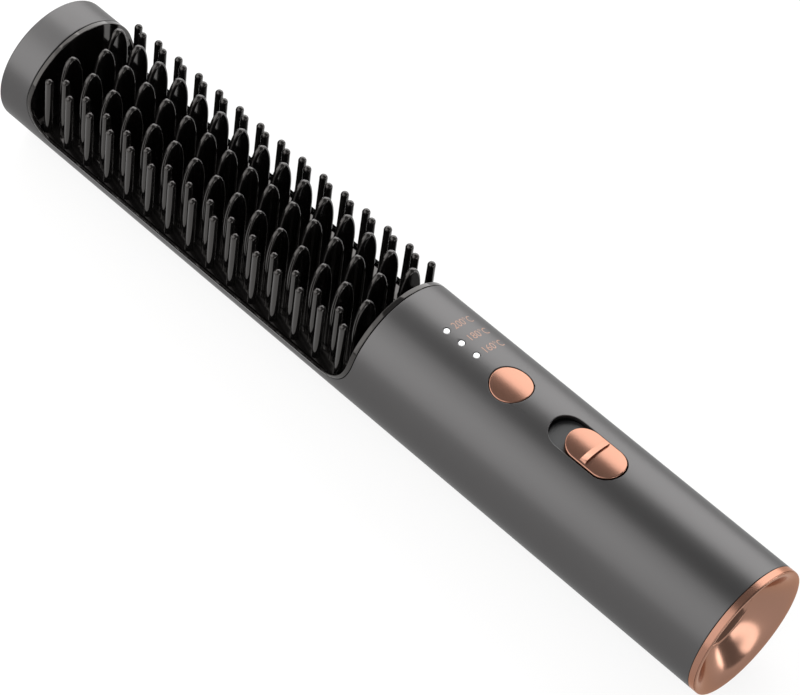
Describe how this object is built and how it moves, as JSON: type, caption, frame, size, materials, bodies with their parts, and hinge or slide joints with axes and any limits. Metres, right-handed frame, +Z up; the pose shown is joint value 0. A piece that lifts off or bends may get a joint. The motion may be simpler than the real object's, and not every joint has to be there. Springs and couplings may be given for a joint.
{
  "type": "hair straightener",
  "caption": "Cordless heated straightening brush: round metal tube with a comb in a long window, power button, temperature slider and dished charging end",
  "frame": {"origin": "on the ground under the middle of the tube, which lies on its back with the teeth up", "axes": "+X along the tube from the closed nose to the charging end, +Z up, the way the teeth point, +Y across the tube"},
  "size_m": [0.2554, 0.0382, 0.0397],
  "materials": {
    "anodised_grey": "satin anodised",
    "gloss_black": "gloss",
    "rose_gold": "rose gold plating",
    "dark_plastic": "fine matt",
    "chassis_plastic": "moulded",
    "board_green": "solder mask",
    "chip_black": "moulded",
    "bright_metal": "nickel plated",
    "cast_aluminium": "cast",
    "ceramic": "fired alumina, matt",
    "mica": "pressed mica",
    "frosted_plastic": "frosted",
    "cell_wrap": "shrink film",
    "rubber": "matt",
    "wire_red": "wire insulation",
    "wire_black": "wire insulation"
  },
  "bodies": {
    "handle": {"housing_tube": "anodised_grey", "comb_frame": "gloss_black", "blade_strip_left": "gloss_black", "blade_strip_middle": "gloss_black", "blade_strip_right": "gloss_black", "bristle_strip_left": "gloss_black", "bristle_strip_right": "gloss_black", "heater_plate": "cast_aluminium", "ceramic_heater_front": "ceramic", "ceramic_heater_rear": "ceramic", "mica_sheet": "mica", "thermal_fuse": "bright_metal", "thermistor": "ceramic", "light_guide": "frosted_plastic", "tact_switch": "chip_black", "slide_tray": "dark_plastic", "slide_switch": "chip_black", "main_board": "board_green", "control_chip": "chip_black", "charger_chip": "chip_black", "level_led_1": "frosted_plastic", "level_led_2": "frosted_plastic", "level_led_3": "frosted_plastic", "board_screw_1": "bright_metal", "board_screw_2": "bright_metal", "board_screw_3": "bright_metal", "board_screw_4": "bright_metal", "inner_chassis": "chassis_plastic", "battery_cell": "cell_wrap", "battery_tab_minus": "bright_metal", "battery_tab_plus": "bright_metal", "heater_wire_left": "wire_red", "heater_wire_right": "wire_red", "cell_wire_minus": "wire_black", "cell_wire_plus": "wire_red", "port_wire_left": "wire_black", "port_wire_right": "wire_red", "tail_cap": "rose_gold", "tail_seal": "rubber", "port_plate": "dark_plastic", "socket_shell": "bright_metal", "socket_tongue": "chip_black", "port_board": "board_green"},
    "button": {"power_button": "rose_gold", "switch_plunger": "bright_metal"},
    "slider": {"slide_knob": "rose_gold", "slide_lever": "frosted_plastic"}
  },
  "joints": [
    {"name": "button_press", "type": "slide", "parent": "handle", "child": "button", "axis": [0, 0, -1], "range_m": [0, 0.0006], "stiffness_N_per_m": 2500, "springref_m": -0.0004},
    {"name": "temperature_slide", "type": "slide", "parent": "handle", "child": "slider", "axis": [-1, 0, 0], "range_m": [0, 0.0052]}
  ]
}
